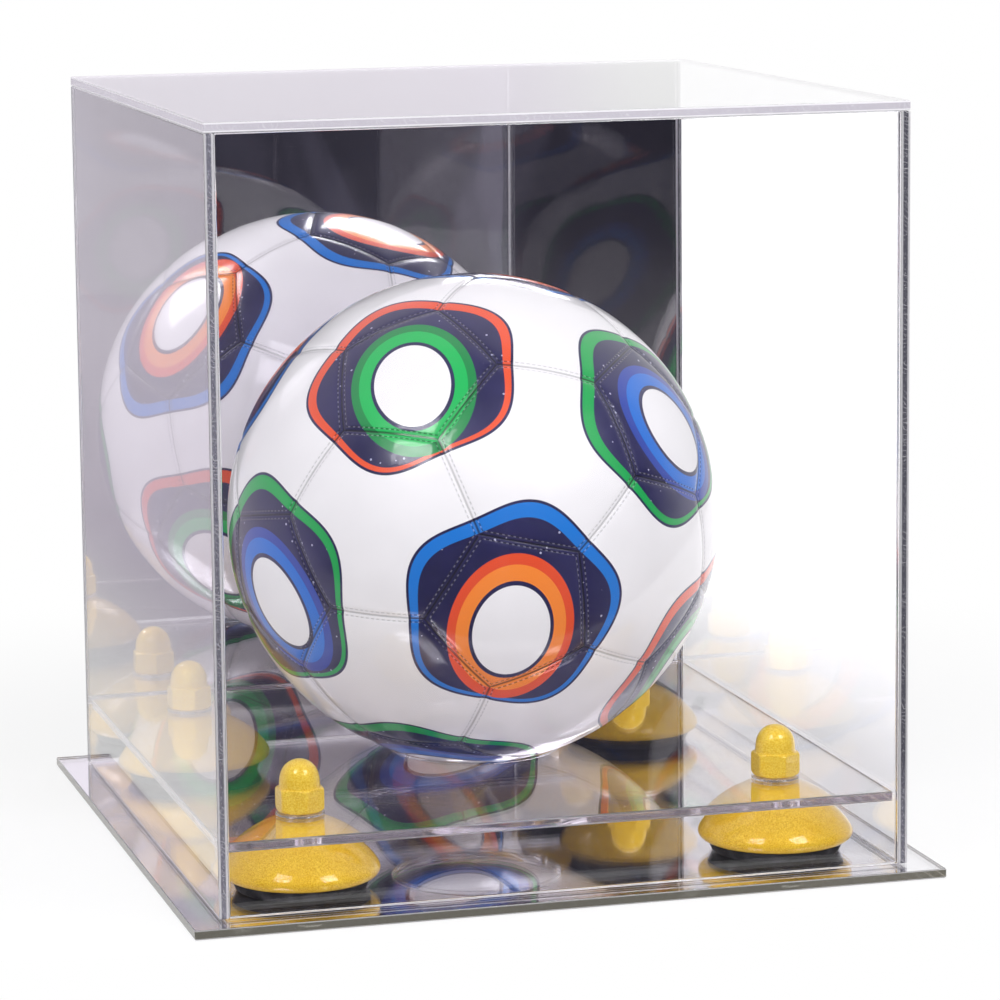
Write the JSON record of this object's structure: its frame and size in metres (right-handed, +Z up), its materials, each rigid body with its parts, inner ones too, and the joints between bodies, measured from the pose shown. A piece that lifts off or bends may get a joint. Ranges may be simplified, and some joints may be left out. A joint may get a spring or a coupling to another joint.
{
  "type": "soccer ball display case",
  "caption": "Tabletop acrylic display case for a soccer ball: lift-off clear cover with a mirror back, mirror base, golden risers and a clear shelf that cradles the ball.",
  "frame": {"origin": "middle of the base's underside, on the table", "axes": "+X to the right and +Y away from a viewer at the front, towards the mirror back, +Z up"},
  "size_m": [0.33, 0.33, 0.3343],
  "materials": {
    "clear_acrylic": "clear, polished",
    "acrylic_mirror": "silvered on the back of a clear sheet",
    "gold": "gold lacquer with a fine metallic grain",
    "black_rubber": "matte",
    "clear_nylon": "clear, moulded",
    "zinc_steel": "zinc plated",
    "ball_leather": "glossy coated, stitched panels",
    "bladder_rubber": "matte"
  },
  "bodies": {
    "stand": {"base_plate": "acrylic_mirror", "shelf": "clear_acrylic", "foot_pad_fl": "black_rubber", "foot_pad_fr": "black_rubber", "foot_pad_bl": "black_rubber", "foot_pad_br": "black_rubber", "riser_fl": "gold", "riser_fr": "gold", "riser_bl": "gold", "riser_br": "gold", "screw_fl": "zinc_steel", "screw_fr": "zinc_steel", "screw_bl": "zinc_steel", "screw_br": "zinc_steel", "washer_fl": "clear_nylon", "washer_fr": "clear_nylon", "washer_bl": "clear_nylon", "washer_br": "clear_nylon", "cap_nut_fl": "gold", "cap_nut_fr": "gold", "cap_nut_bl": "gold", "cap_nut_br": "gold"},
    "cover": {"cover_top": "clear_acrylic", "cover_front": "clear_acrylic", "cover_left": "clear_acrylic", "cover_right": "clear_acrylic", "cover_back": "acrylic_mirror"},
    "ball": {"ball_cover": "ball_leather", "ball_bladder": "bladder_rubber", "ball_valve": "black_rubber"}
  },
  "joints": [
    {"name": "cover_lift", "type": "slide", "parent": "stand", "child": "cover", "axis": [0, 0, 1], "range_m": [0, 0.3]},
    {"name": "ball_turn", "type": "hinge", "parent": "stand", "child": "ball", "pos_m": [0, 0, 0.1398], "axis": [0, 0, 1], "continuous": true}
  ]
}
